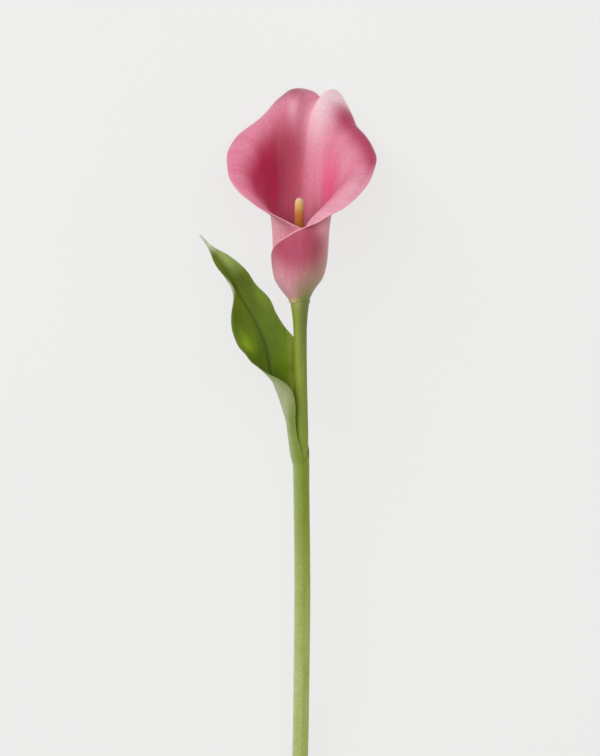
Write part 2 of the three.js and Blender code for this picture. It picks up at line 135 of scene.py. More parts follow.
# The leaf along its midrib: y, x of the midrib beside the scape, z beside the scape, twist of
# the blade, width of the front half, of the rear half, and the radius to which each is rolled
LEAF = [
    [-79, -4.8, 0, 0, 8, 15, 4.6, 4.75], [-74, -5.5, 0, 0, 7.6, 13.8, 4.8, 5],
    [-69, -6.1, 0, 0, 7.1, 13.5, 5, 5.4], [-62, -7, 0, 0, 7.4, 14.5, 5.2, 6],
    [-55, -8.6, 0, 3, 9.8, 16, 5.8, 7.2], [-49, -10.1, -0.2, 8, 11, 18, 6.5, 9.5],
    [-43, -12.4, -0.5, 22, 11.8, 19, 8, 14], [-37, -14.7, -1, 44, 11, 19, 11, 24],
    [-31, -15.9, -1.5, 62, 12.9, 18.5, 23, 40], [-25, -17, -2.2, 72, 14.4, 15.4, 26, 60],
    [-19, -19.2, -3, 77, 14.9, 12.3, 30, 60], [-12, -22.5, -4, 80, 14.1, 11.2, 32, 40],
    [-5, -26, -5.5, 82, 10.1, 11.4, 32, 32], [3, -30.4, -8, 82, 3.8, 9, 22, 26],
    [11, -34.4, -11, 80, 3.8, 7.8, 12, 20], [19, -39.9, -14, 77, 4.2, 5.1, 9, 15],
    [26, -45.6, -16.5, 75, 1.4, 1.5, 8, 12], [32.8, -51.2, -19.5, 72, 0.3, 0.3, 8, 8],
]
# The sheath's outer radius, by y
SHEATH_OUTER = [
    [CUT_END, 4.05], [-200, 4.1], [-150, 4.12], [-110, 4.08], [-96, 4.1], [SHEATH_MOUTH, 4.22],
]
# The radius of the spadix under its florets, by share of its length
SPADIX_RADIUS = [[0, 2], [0.12, 2.5], [0.5, 2.6], [0.85, 2.35], [1, 2.1]]

# How finely the pieces are made
SPATHE_RAYS, SPATHE_STEPS = 300, 118
LEAF_HALF_COLUMNS, SHEATH_ROWS, BLADE_ROWS = 34, 100, 176
SCAPE_SIDES = 56
SPADIX_SIDES, SPADIX_ROWS = 126, 300
MARGIN_ANGLES = (45, 90, 135)  # the round margins' points, in degrees from the upper face
TUBE_POINTS, COLLAR_POINTS, FLARE_POINTS, MARGIN_POINTS = 73, 9, 160, 36  # on the parts of a ray
SHORTEST_COLLAR, SHORTEST_MARGIN = 0.05, 1e-6  # anything shorter gets no points of its own
RISE_FROM = 23 / 24  # a ray leaves the tube in the direction it has above this share of its height

# Soft patches of colour on the spathe: strength, turn, share of the ray, and how far each reaches in both
HOT = [(1, 116, 0.56, 26, 0.135), (0.55, 52, 0.8, 28, 0.09)]
# Pale patches: partly the spathe's own paler pink, partly painted light on the humps and folds
PALE_AND_LIT = [
    (0.95, 158, 0.8, 16, 0.15), (0.9, 162, 0.93, 16, 0.06), (0.15, 110, 0.78, 16, 0.08),
    (0.3, 30, 0.98, 30, 0.12), (0.35, 199, 0.77, 8, 0.05), (0.8, 149, 0.94, 8, 0.06),
    (0.12, 150, 0.55, 12, 0.15), (0.3, 62, 0.92, 16, 0.07),
]
# Painted shade that deepens the crimson on the left wall of the throat
LEFT_WALL_SHADE = (0.5, 222, 0.56, 16, 0.14)
# Painted light that lifts the shade deep in the throat on the left
THROAT_LIGHT = (0.45, 262, 0.49, 26, 0.09)
# The same with a length along the ray in place of the share
# Painted light that lifts the lip's shadow on the flap under it, at the right front
UNDER_LIP_LIGHT = (0.9, 50, 37, 20, 5)
KEEL_OLIVE = (0.4, MIDRIB_TURN, 14, 22, 22)
# The bright parts of the leaf's upper face, the largest of them, beside the scape, painted light that lifts
# its shade: strength, distance from the midrib, y, and reach in both
BRIGHT_AND_LIT = [(0.8, -10, -20, 3.5, 7), (0.3, 9, -4, 3, 9), (1, 15, -36, 8, 14)]

# The stage, in metres. The camera looks straight down, which is the photo's view of the flower.
CAMERA_AT = (0.00625, 0.04192, 1.238)
CLIP = (0.05, 20)
LENS, SENSOR = 114, 36  # in millimetres
# Square lights that all face one place: where they are, width and power
LIT_AT = (0.0, 0.1, 0.03)
LIGHTS = {
    "key": ((-0.9, 0.6, 1.0), 1.0, 8.6),
    "fill": ((1.0, 0.5, 1.0), 1.0, 2.4),
    "top": ((0.1, 0.3, 1.7), 1.4, 9.0),
}
SKY = 0.4
FLOOR_REACH = 3.0
FLOOR_GLOW = 0.85

X, Y, Z = np.eye(3)


def unit(v):
    return v / (np.linalg.norm(v, axis=-1, keepdims=True) + 1e-12)


def smoothstep(x, low, high):
    t = np.clip((x - low) / (high - low), 0, 1)
    return t * t * (3 - 2 * t)


def fade(x, start, end):
    """Falls from 1 to 0 between start and end."""
    return 1 - smoothstep(x, start, end)


def plateau(x, start, full, fading, end):
    """Rises from 0 to 1 between start and full, and falls back between fading and end."""
    return smoothstep(x, start, full) * fade(x, fading, end)


def window(x, low, high, soft):
    """1 between low and high and 0 outside, softened by so much on both sides of each."""
    return plateau(x, low - soft, low + soft, high - soft, high + soft)


def waves(turn, rows):
    """The sum of waves round the flower: height, number in a full turn, and degrees ahead."""
    return sum(height * np.sin(np.radians(turn * count + ahead)) for height, count, ahead in rows)


def keyed(rows, key):
    """A smooth curve through rows of [key, value, value, ...], read at many keys."""
    table = np.asarray(rows, float)
    keys, values = table[:, 0], table[:, 1:]
    ends = np.arange(len(keys))
    before, after = np.maximum(ends - 1, 0), np.minimum(ends + 1, len(keys) - 1)
    slopes = (values[after] - values[before]) / (keys[after] - keys[before])[:, None]
    key = np.asarray(key, float)
    i = np.clip(np.searchsorted(keys, key, side="left") - 1, 0, len(keys) - 2)
    span = (keys[i + 1] - keys[i])[..., None]
    t = np.clip((key - keys[i])[..., None] / span, 0, 1)
    t2, t3 = t * t, t * t * t
    return (
        (2 * t3 - 3 * t2 + 1) * values[i]
        + (t3 - 2 * t2 + t) * span * slopes[i]
        + (3 * t2 - 2 * t3) * values[i + 1]
        + (t3 - t2) * span * slopes[i + 1]
    )


def stem_centre(y):
    share = np.clip(y / CUT_END, 0, 1)
    return np.stack([keyed(STEM_SWAY, y)[..., 0], y, -STEM_DROP * share**STEM_FALL], -1)


def stem_frame(y):
    """Centre of the scape and the directions along it, to its right and to its front."""
    y = np.asarray(y, float)
    along = unit(stem_centre(np.minimum(y + 1, 0)) - stem_centre(np.maximum(y - 1, CUT_END)))
    level = smoothstep(y, *STEM_LEVEL)[..., None]
    along = unit(along * (1 - level) + Y * level)
    right = unit(X - along * along[..., :1])
    return stem_centre(y), along, right, np.cross(right, along)


def tube_point(turn, height):
    """The middle of the tube's wall at each turn and height."""
    radius = keyed(TUBE, height)[..., 0] + ROLL_STEP * (ROLL_START - turn) / 360
    angle = np.radians(turn)
    sway = keyed(TUBE_SWAY, height)[..., 0]
    return np.stack([radius * np.sin(angle) + sway, height, radius * np.cos(angle)], -1)


def end_share(share):
    """Places along a ray, closer together at its foot and at its margin."""
    return share - END_CROWDING * np.sin(2 * np.pi * share) / (2 * np.pi)


def collar(turn):
    """How far the outer layer of the spathe runs down over the scape's shoulder."""
    return plateau(turn, OUTER_MARGIN, -125, 185, 205) * (COLLAR_DROP + waves(turn, COLLAR_WAVES))


def collar_path(turn, low, foot):
    """The part of a ray that hugs the scape, from its lower end up to the foot of the tube."""
    y = np.linspace(-low, 0, COLLAR_POINTS)[:-1]
    angle = math.radians(turn)
    around = math.sin(angle) * X + math.cos(angle) * Z
    hug = stem_centre(y) + around * (keyed(SCAPE_RADIUS, y) + COLLAR_GAP)
    above = foot + Y * y[:, None]
    return hug + (above - hug) * smoothstep(y, -low, COLLAR_TOP)[:, None]


def flare_paths(turn, start, rise):
    """The open part of a ray: a curve from the throat to the crest, and the margin rolled past it."""
    x, y, z, curl, margin, radius = keyed(RIM, turn)
    crest = np.array([x, y, z])
    reach = np.linalg.norm(crest - start)
    out = unit(np.array([x - start[0], 0, z - start[2]]))
    curl = math.radians(curl)
    heading = math.cos(curl) * Y + math.sin(curl) * out
    t = np.linspace(0, 1, FLARE_POINTS + 1)[1:, None]
    lead, trail = start + rise * reach * RAY_REACH, crest - heading * reach * RIM_REACH
    flare = (1 - t) ** 3 * start + 3 * (1 - t) ** 2 * t * lead + 3 * (1 - t) * t * t * trail + t**3 * crest
    if margin < SHORTEST_MARGIN:
        return [flare]
    bend = curl + np.linspace(0, 1, MARGIN_POINTS + 1)[1:, None] * margin / radius
    rolled = radius * (np.sin(bend) - math.sin(curl)) * Y - radius * (np.cos(bend) - math.cos(curl)) * out
    return [flare, crest + rolled]


def spathe_ray(turn, shares):
    """Points at shares of a ray's length, and how far along the spathe's wall they stand."""
    is_open = 0 < turn < 360
    top = THROAT if is_open else float(keyed(WRAP, turn)[0])
    tube = tube_point(np.full(TUBE_POINTS, float(turn)), np.linspace(0, top, TUBE_POINTS))
    path = [tube]
    low = collar(turn)
    if low > SHORTEST_COLLAR:
        path.insert(0, collar_path(turn, low, tube[0]))
    if is_open:
        below = tube_point(np.array(float(turn)), np.array(top * RISE_FROM))
        path += flare_paths(turn, tube[-1], unit(tube[-1] - below))
    path = np.concatenate(path)
    lengths = np.concatenate([[0], np.cumsum(np.linalg.norm(np.diff(path, axis=0), axis=1))])
    want = lengths[-1] * shares
    return np.stack([np.interp(want, lengths, path[:, c]) for c in range(3)], -1), want - low


def sheet_normals(grid, closed=0):
    """The direction square to a sheet at each point; the first `closed` rows are rings."""
    across = np.empty_like(grid)
    across[:, 1:-1] = grid[:, 2:] - grid[:, :-2]
    across[:, 0] = grid[:, 1] - grid[:, 0]
    across[:, -1] = grid[:, -1] - grid[:, -2]
    if closed:
        across[:closed, 0] = across[:closed, -1] = grid[:closed, 1] - grid[:closed, -2]
    return unit(np.cross(across, np.gradient(grid, axis=0)))


def spathe_grid(rays, steps):
    """The spathe's rays side by side, with their turns, the shares and the lengths along them."""
    s = np.linspace(-1, 1, rays + 1)
    side = np.where(s < 0, MIDRIB_TURN - OUTER_MARGIN, INNER_MARGIN - MIDRIB_TURN)
    turns = MIDRIB_TURN + np.sign(s) * side * np.abs(s) ** MIDRIB_CROWDING
    shares = end_share(np.linspace(0, 1, steps + 1))
    sampled = [spathe_ray(turn, shares) for turn in turns]
    grid = np.stack([points for points, _ in sampled], 1)
    lengths = np.stack([want for _, want in sampled], 1)
    bow = KEEL_LEAN * plateau(shares, 0.35, 0.65, 0.68, 0.84)
    near = np.exp(-np.abs(turns[None] - MIDRIB_TURN + bow[:, None]) / CREASE_WIDTH)
    keel = CREASE_DEPTH * plateau(shares, 0.35, 0.85, 0.88, 1)
    return grid + sheet_normals(grid) * (keel[:, None] * near)[..., None], turns, shares, lengths


def leaf_rows(midrib, along, twist, widths, radii, half):
    """Rows of the leaf, from its front margin across the midrib to its rear margin."""
    e1 = unit(X - along * along[:, :1])
    e2 = np.cross(e1, along)
    c, s = np.cos(np.radians(twist))[:, None], np.sin(np.radians(twist))[:, None]
    under, ahead = -c * e1 - s * e2, c * e2 - s * e1
    place = np.arange(-half, half + 1)
    rear = (place >= 0).astype(int)
    radius = radii[:, rear]
    arc = np.abs(place) / half * widths[:, rear]
    bend = arc / radius
    sign = np.where(rear, -1, 1)
    grid = (
        midrib[:, None]
        + ahead[:, None] * (sign * radius * np.sin(bend))[..., None]
        - under[:, None] * (radius * (1 - np.cos(bend)))[..., None]
    )
    return grid, arc


def leaf_grid(half, sheath_rows, blade_rows):
    """The whole leaf as rows of points, with each row's y and each point's arc from the midrib."""
    y = np.linspace(CUT_END, SHEATH_MOUTH, sheath_rows + 1)
    centre, along, right, _ = stem_frame(y)
    radius = keyed(SHEATH_OUTER, y) - LEAF_THICK / 2
    widths = radius * np.radians([90 + SHEATH_SLIT, 270 - SHEATH_SLIT])
    sheath, sheath_arc = leaf_rows(centre - right * radius, along, 0 * y, widths, radius.repeat(2, 1), half)
    beside = float(stem_centre(np.array(float(SHEATH_MOUTH)))[0] - radius[-1, 0])
    rows = [[SHEATH_MOUTH, beside, 0, 0, *widths[-1], radius[-1, 0], radius[-1, 0]]] + LEAF
    top = LEAF[-1][0]

    def midrib(at):
        values = keyed(rows, at)
        return np.stack([values[:, 0], at, stem_centre(np.minimum(at, 0))[:, 2] + values[:, 1]], -1)

    y_blade = np.linspace(SHEATH_MOUTH, top, blade_rows + 1)[1:]
    values = keyed(rows, y_blade)
    along = unit(midrib(np.minimum(y_blade + 0.5, top)) - midrib(np.maximum(y_blade - 0.5, SHEATH_MOUTH)))
    blade, blade_arc = leaf_rows(midrib(y_blade), along, values[:, 2], values[:, 3:5], values[:, 5:7], half)
    grid, arc = np.concatenate([sheath, blade]), np.concatenate([sheath_arc, blade_arc])
    return grid, np.concatenate([y, y_blade]), arc


def margin_loops(rows, columns, closed):
    """Each margin of a sheet as a loop of places: one, or a ring's and an opening's."""
    foot = [(0, j) for j in range(columns)]
    up = [(i, columns - 1) for i in range(max(closed, 1), rows)]
    over = [(rows - 1, j) for j in range(columns - 2, -1, -1)]
    down = [(i, 0) for i in range(rows - 2, max(closed, 1) - 1, -1)]
    if closed:
        return [foot[:-1], [(closed - 1, 0)] + up + over + down]
    return [foot + up + over + down]


def margin_directions(grid, closed):
    """At each place on a margin, the direction that leads off the sheet."""
    outward = np.zeros_like(grid)
    outward[-1] += unit(grid[-1] - grid[-2])
    outward[0] += unit(grid[0] - grid[1])
    outward[closed:, -1] += unit(grid[closed:, -1] - grid[closed:, -2])
    outward[closed:, 0] += unit(grid[closed:, 0] - grid[closed:, 1])
    if closed:
        apex = closed - 1
        outward[apex, 0] = unit((grid[closed, 0] + grid[closed, -1]) / 2 - grid[apex, 0])
    return outward


def margin_room(grid, closed):
    """How far each margin may stand out from the sheet, so that it stays out of the other one."""
    room = np.full(grid.shape[:2], np.inf)
    if closed:
        gap = np.linalg.norm(grid[:, 0] - grid[:, -1], axis=1)
        room[closed:, 0] = room[closed:, -1] = SLIT_SHARE * gap[closed:]
        room[closed - 1, 0] = APEX_ROOM
    return room


def closed_sheet(grid, thickness, closed=0):
    """Vertices, faces and the grid place and face of each vertex for a sheet with round margins.

    The first `closed` rows are rings, whose last column is their first one again."""
    rows, columns = grid.shape[:2]
    count = rows * columns
    normals = sheet_normals(grid, closed)
    ids = np.arange(count).reshape(rows, columns)
    ids[:closed, -1] = ids[:closed, 0]
    half = (thickness / 2)[..., None] * normals
    points = [(grid + half).reshape(-1, 3), (grid - half).reshape(-1, 3)]
    place = [np.arange(count), np.arange(count)]
    face = [np.ones(count), np.zeros(count)]
    a, b = ids[:-1, :-1].ravel(), ids[:-1, 1:].ravel()
    c, d = ids[1:, 1:].ravel(), ids[1:, :-1].ravel()
    quads = [np.stack([a, b, c, d], 1), np.stack([a, d, c, b], 1) + count]

    outward, room = margin_directions(grid, closed), margin_room(grid, closed)
    start = 2 * count
    for loop in margin_loops(rows, columns, closed):
        i, j = np.array(loop).T
        n, h = normals[i, j], thickness[i, j] / 2
        out = outward[i, j] - n * np.sum(outward[i, j] * n, -1, keepdims=True)
        out = unit(out) * np.minimum(h, room[i, j])[:, None]
        bands = [ids[i, j]]
        for angle in np.radians(MARGIN_ANGLES):
            points.append(grid[i, j] + n * (h * math.cos(angle))[:, None] + out * math.sin(angle))
            place.append(ids[i, j])
            face.append(np.full(len(loop), (1 + math.cos(angle)) / 2))
            bands.append(start + np.arange(len(loop)))
            start += len(loop)
        bands.append(ids[i, j] + count)
        for upper, lower in zip(bands, bands[1:]):
            quads.append(np.stack([np.roll(upper, -1), upper, lower, np.roll(lower, -1)], 1))
    return np.concatenate(points), np.concatenate(quads), np.concatenate(place), np.concatenate(face)


def ring_angles(sides):
    return np.arange(sides) / sides * 2 * np.pi


def ring_stack(centre, right, front, radius):
    """Vertices and faces of a solid from rings: radius is rows by sides, capped at both ends."""
    rows, sides = radius.shape
    angle = ring_angles(sides)
    points = (
        centre[:, None]
        + right[:, None] * (radius * np.sin(angle))[..., None]
        + front[:, None] * (radius * np.cos(angle))[..., None]
    ).reshape(-1, 3)
    ids = np.arange(rows * sides).reshape(rows, sides)
    following = np.roll(ids, -1, axis=1)
    faces = np.stack([ids[:-1], following[:-1], following[1:], ids[1:]], -1).reshape(-1, 4).tolist()
    for row, hub in ((0, rows * sides), (rows - 1, rows * sides + 1)):
        for a, b in zip(ids[row], following[row]):
            faces.append([hub, b, a] if row == 0 else [hub, a, b])
    return np.concatenate([points, centre[[0, -1]]]), faces


def each_ring(values, sides):
    """A value of each ring of a stack, at every vertex and at the hubs of the two caps."""
    return np.concatenate([np.repeat(values, sides), [values[0], values[-1]]])


def each_side(values, rows):
    """A value round a ring, the same in every ring of a stack and 0 at the two hubs."""
    return np.concatenate([np.tile(values, rows), [0, 0]])


def add_piece(name, points, faces, values, material, node):
    """A piece in metres on the frame, with a named value at each vertex for its material."""
    used, compact = np.unique(np.concatenate([np.ravel(f) for f in faces]), return_inverse=True)
    corners = np.cumsum([len(f) for f in faces])[:-1]
    mesh = bpy.data.meshes.new(name)
    placed = (points[used] + np.array(FLOWER_AT)) * MILLIMETRE
    placed[:, 2] = np.maximum(placed[:, 2], 0)  # nothing lies below the surface
    mesh.from_pydata(placed.tolist(), [], [f.tolist() for f in np.split(compact, corners)])
    for key, value in values.items():
        attribute = mesh.attributes.new(key, "FLOAT", "POINT")
        attribute.data.foreach_set("value", np.asarray(value, np.float32)[used])
    mesh.polygons.foreach_set("use_smooth", [True] * len(mesh.polygons))
    mesh.materials.append(material)
    mesh.update()
    piece = bpy.data.objects.new(name, mesh)
    bpy.context.scene.collection.objects.link(piece)
    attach(piece, "root")
    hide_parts(node)
    return piece


def srgb(red, green, blue):
    """A colour given as 0 to 255 display values, as the shader wants it."""
    c = np.array([red, green, blue]) / 255
    return (*np.where(c <= 0.04045, c / 12.92, ((c + 0.055) / 1.055) ** 2.4).tolist(), 1.0)


class Paint:
    """One procedural material, built a node at a time. Colours are given as display values."""

    def __init__(self, name):
        self.material = bpy.data.materials.new(name)
        self.material.use_nodes = True
        self.tree = self.material.node_tree
        self.shader = next(n for n in self.tree.nodes if n.type == "BSDF_PRINCIPLED")

    def put(self, socket, value):
        if isinstance(value, bpy.types.NodeSocket):
            self.tree.links.new(value, socket)
        else:
            socket.default_value = value

    def value(self, name):
        """A named value that the mesh holds at each vertex."""
        node = self.tree.nodes.new("ShaderNodeAttribute")
        node.attribute_name = name
        return node.outputs["Fac"]

    def values(self, *names):
        return [self.value(name) for name in names]

    def place(self):
        return self.tree.nodes.new("ShaderNodeTexCoord").outputs["Object"]

    def math(self, operation, *inputs):
        node = self.tree.nodes.new("ShaderNodeMath")
        node.operation = operation
        for socket, value in zip(node.inputs, inputs):
            self.put(socket, value)
        return node.outputs[0]

    def add(self, a, b):
        return self.math("ADD", a, b)

    def times(self, first, *factors):
        for factor in factors:
            first = self.math("MULTIPLY", first, factor)
        return first

    def smooth(self, value, low, high, to_low=0.0, to_high=1.0):
        """A soft step from to_low, where the value is low, to to_high, where it is high."""
        node = self.tree.nodes.new("ShaderNodeMapRange")
        node.interpolation_type = "SMOOTHSTEP"
        for socket, v in zip(node.inputs, (value, low, high, to_low, to_high)):
            self.put(socket, v)
        return node.outputs[0]

    def noise(self, vector, scale=1.0, detail=2.0, roughness=0.5):
        node = self.tree.nodes.new("ShaderNodeTexNoise")
        self.put(node.inputs["Vector"], vector)
        self.put(node.inputs["Scale"], scale)
        self.put(node.inputs["Detail"], detail)
        self.put(node.inputs["Roughness"], roughness)
        return node.outputs["Fac"]

    def grains(self, per_metre):
        """Even noise through the piece."""
        return self.noise(self.place(), per_metre)

    def streaks(self, a, per_a, b, per_b, layer=0.0, detail=2.0, roughness=0.5):
        """Noise drawn out over two of the mesh's values, by how fast it changes with each."""
        node = self.tree.nodes.new("ShaderNodeCombineXYZ")
        for socket, value in zip(node.inputs, (self.times(a, per_a), self.times(b, per_b), layer)):
            self.put(socket, value)
        return self.noise(node.outputs[0], 1.0, detail, roughness)

    def cells(self, per_metre):
        """How far each place is from the middle of its cell."""
        node = self.tree.nodes.new("ShaderNodeTexVoronoi")
        self.put(node.inputs["Vector"], self.place())
        self.put(node.inputs["Scale"], per_metre)
        return node.outputs["Distance"]

    def mix(self, share, a, b):
        node = self.tree.nodes.new("ShaderNodeMix")
        node.data_type = "RGBA"
        self.put(node.inputs[0], share)
        for socket, colour in zip((node.inputs[6], node.inputs[7]), (a, b)):
            self.put(socket, srgb(*colour) if isinstance(colour, tuple) else colour)
        return node.outputs[2]

    def clouds(self, noise, a, b):
        """Two near colours that wander into each other."""
        return self.mix(self.smooth(noise, 0.3, 0.7), a, b)

    def coats(self, colour, *coats):
        """A colour under soft coats of others: pairs of a mask, or a mesh value's name, and a colour."""
        for mask, over in coats:
            colour = self.mix(self.value(mask) if isinstance(mask, str) else mask, colour, over)
        return colour

    def vary(self, colour, value, saturation=1.0):
        """The same hue, brighter or duller."""
        node = self.tree.nodes.new("ShaderNodeHueSaturation")
        self.put(node.inputs["Color"], colour)
        self.put(node.inputs["Value"], value)
        self.put(node.inputs["Saturation"], saturation)
        return node.outputs[0]

    def lines(self, phase, sharpness):
        """Thin lines, one for each whole number that the phase passes."""
        wave = self.add(self.times(self.math("COSINE", self.times(phase, 2 * math.pi)), 0.5), 0.5)
        return self.math("POWER", wave, sharpness)

    def finish(self, colour, roughness, height, relief, **settings):
        """The finished material. The relief is the bump's depth in metres."""
        self.put(self.shader.inputs["Base Color"], colour)
        self.put(self.shader.inputs["Roughness"], roughness)
        bump = self.tree.nodes.new("ShaderNodeBump")
        bump.inputs["Strength"].default_value = 1.0
        bump.inputs["Distance"].default_value = relief
        self.put(bump.inputs["Height"], height)
        self.tree.links.new(bump.outputs[0], self.shader.inputs["Normal"])
        for key, value in settings.items():
            self.shader.inputs[key.replace("_", " ")].default_value = value
        return self.material


def spathe_paint():
    p = Paint("spathe")
    turn, reach, inner, olive = p.values("turn", "reach", "inner", "olive")
    pale_and_lit, hot, wall_and_shade, crimson_and_shade = p.values("pale_and_lit", "hot", "wall_and_shade", "crimson_and_shade")
    layer = p.times(inner, 7.0)
    broad = p.streaks(turn, 0.11, reach, 0.02, layer)
    streak = p.streaks(turn, 0.55, reach, 0.03, layer, 3.0, 0.6)
    fine = p.streaks(turn, 2.2, reach, 0.09, layer)
    grain = p.grains(1900.0)
    mottle = p.grains(620.0)
    vein = p.lines(p.add(p.times(turn, 1 / DEGREES_PER_VEIN), p.times(streak, 1.3)), 5.0)
    vein = p.times(vein, p.smooth(fine, 0.3, 0.65, 0.15, 1.0))
    cloud = p.smooth(streak, 0.25, 0.75, 0.82, 1.0)
    thin_cloud = p.smooth(streak, 0.25, 0.75, 0.9, 1.0)

    inside = p.coats(
        p.clouds(broad, (220, 123, 150), (226, 136, 162)),
        # paler pink, partly painted light
        (pale_and_lit, (255, 214, 223)),
        (p.times(hot, cloud), (234, 88, 136)),
        # painted shade where the right side's margin rolls back
        ("rim_shade", (184, 32, 86)),
        # the throat's deeper pink, with painted shade where its wall faces away from the light
        (p.times(wall_and_shade, cloud), (180, 56, 82)),
        # the left side's crimson, partly painted shade
        (p.times(crimson_and_shade, thin_cloud), (168, 2, 60)),
        # painted shade on the left wall of the throat
        ("left_wall_shade", (136, 4, 46)),
        # painted light deep in the throat
        ("throat_light", (222, 36, 104)),
        # painted shade on the crest of the left hump, where it rolls back
        ("crest", (172, 90, 108)),
    )
    outside = p.coats(
        p.clouds(broad, (232, 156, 168), (238, 170, 182)),
        ("flush", p.mix(p.smooth(turn, -20.0, 50.0), (184, 66, 98), (176, 74, 94))),
        # the same pale patches outside, partly painted light
        (p.times(pale_and_lit, 0.6), (255, 190, 200)),
        (p.times(olive, cloud), (142, 138, 76)),
        ("foot", p.mix(p.smooth(turn, -40.0, 15.0), (204, 176, 132), (128, 138, 62))),
    )
    colour = p.coats(
        p.mix(inner, outside, inside),
        (p.times(p.value("lip"), 0.6), (248, 170, 188)),
        ("hem", (255, 186, 190)),
    )
    vein_weight = p.times(p.smooth(inner, 0.0, 1.0, 0.17, 0.06), p.add(p.times(olive, -0.7), 1.0))
    brightness = p.times(
        p.add(1.0, p.times(vein, vein_weight, -1.0)),
        p.smooth(streak, 0.25, 0.8, 0.975, 1.03),
        p.smooth(mottle, 0.3, 0.7, 0.955, 1.045),
        p.smooth(grain, 0.3, 0.7, 0.97, 1.03),
    )
    colour = p.vary(colour, brightness, p.smooth(streak, 0.25, 0.8, 1.03, 0.96))
    height = p.add(p.times(vein, -0.2), p.add(p.times(mottle, 0.3), p.times(grain, 0.25)))
    roughness = p.smooth(p.add(grain, p.times(streak, 0.3)), 0.3, 0.9, 0.42, 0.56)
    return p.finish(
        colour, roughness, height, 0.00006,
        Subsurface_Weight=0.2, Subsurface_Radius=(1.0, 0.42, 0.5), Subsurface_Scale=0.0011,
        Sheen_Weight=0.1, Sheen_Roughness=0.45, Specular_IOR_Level=0.3,
    )


def leaf_paint():
    p = Paint("leaf")
    across, along, away, upper = p.values("across", "along", "away", "upper")
    wander = p.streaks(along, 0.05, across, 0.12)
    phase = p.add(p.times(away, 0.75), p.add(p.times(along, -0.035), p.times(wander, 1.6)))
    vein, thin_vein = p.lines(phase, 5.0), p.lines(p.times(phase, 3.0), 3.0)
    vein = p.times(p.add(vein, p.times(thin_vein, 0.4)), p.value("blade"))
    stripe = p.streaks(across, 1.3, along, 0.03, 3.0, 3.0, 0.6)
    broad = p.streaks(across, 0.14, along, 0.05, 5.0)
    mottle = p.grains(500.0)
    grain = p.grains(1500.0)

    top = p.coats(
        p.clouds(broad, (78, 96, 4), (92, 114, 0)),
        # brighter patches of the blade, the one beside the scape painted light
        ("bright_and_lit", (134, 164, 24)),
        # painted light that lifts the scape's shade on the leaf beside it
        ("near", (150, 168, 60)),
        # painted highlight on the blade towards its tip
        (p.times(p.smooth(along, 9.0, 20.0), p.smooth(across, -1.5, 2.5, 0.1, 0.85)), (150, 170, 96)),
        # painted shade in the groove over the midrib
        (p.times(p.value("rib"), 0.75), (54, 72, 2)),
        # the paler inside of the sheath's mouth, which also lifts the shade in it as painted light
        (p.smooth(along, -70.0, -77.0), (150, 166, 90)),
    )
    under = p.coats(
        p.clouds(broad, (170, 180, 132), (180, 189, 144)),
        # greener away from the midrib: painted shade on the side away from the light, the pale lit side
        # partly a waxy bloom
        ("pale_side_to_shade", (128, 144, 60)),
    )
    sheath = p.coats(
        p.clouds(broad, (168, 182, 94), (180, 194, 110)),
        (p.smooth(along, -190.0, -88.0), (132, 151, 46)),
        # the whitish left edge of the sheath: partly a waxy bloom, partly a painted highlight where the
        # light falls
        (p.smooth(away, 0.0, 2.6, 0.95, 0.0), (228, 232, 210)),
        (p.smooth(away, 1.0, 7.0, 0.4, 0.0), (206, 214, 168)),
        # painted shade along the slit where the sheath's margins meet
        ("slit_shade", (104, 122, 36)),
    )
    outside = p.mix(p.smooth(along, -88.0, -66.0), sheath, under)
    colour = p.coats(
        p.mix(upper, outside, top),
        (p.times(p.value("edge"), 0.25), (140, 156, 96)),
        (p.times(p.value("shaded"), 0.6), (64, 82, 20)),
        (p.times(p.value("turned"), 0.9), (182, 192, 146)),
        (p.times(p.value("tip"), 0.85), (208, 211, 188)),
    )
    brightness = p.times(
        p.add(1.0, p.times(vein, p.smooth(upper, 0.0, 1.0, -0.05, 0.06))),
        p.smooth(stripe, 0.25, 0.8, 0.95, 1.06),
        p.smooth(mottle, 0.3, 0.7, 0.95, 1.05),
        p.smooth(grain, 0.3, 0.7, 0.96, 1.04),
    )
    height = p.add(p.times(p.add(vein, p.times(stripe, 0.8)), 0.6), p.times(grain, 0.25))
    roughness = p.smooth(p.add(grain, p.times(stripe, 0.4)), 0.4, 1.0, 0.38, 0.52)
    return p.finish(
        p.vary(colour, brightness), roughness, height, 0.00006,
        Subsurface_Weight=0.08, Subsurface_Radius=(0.6, 1.0, 0.2), Subsurface_Scale=0.0007,
        Sheen_Weight=0.03, Specular_IOR_Level=0.2,
    )


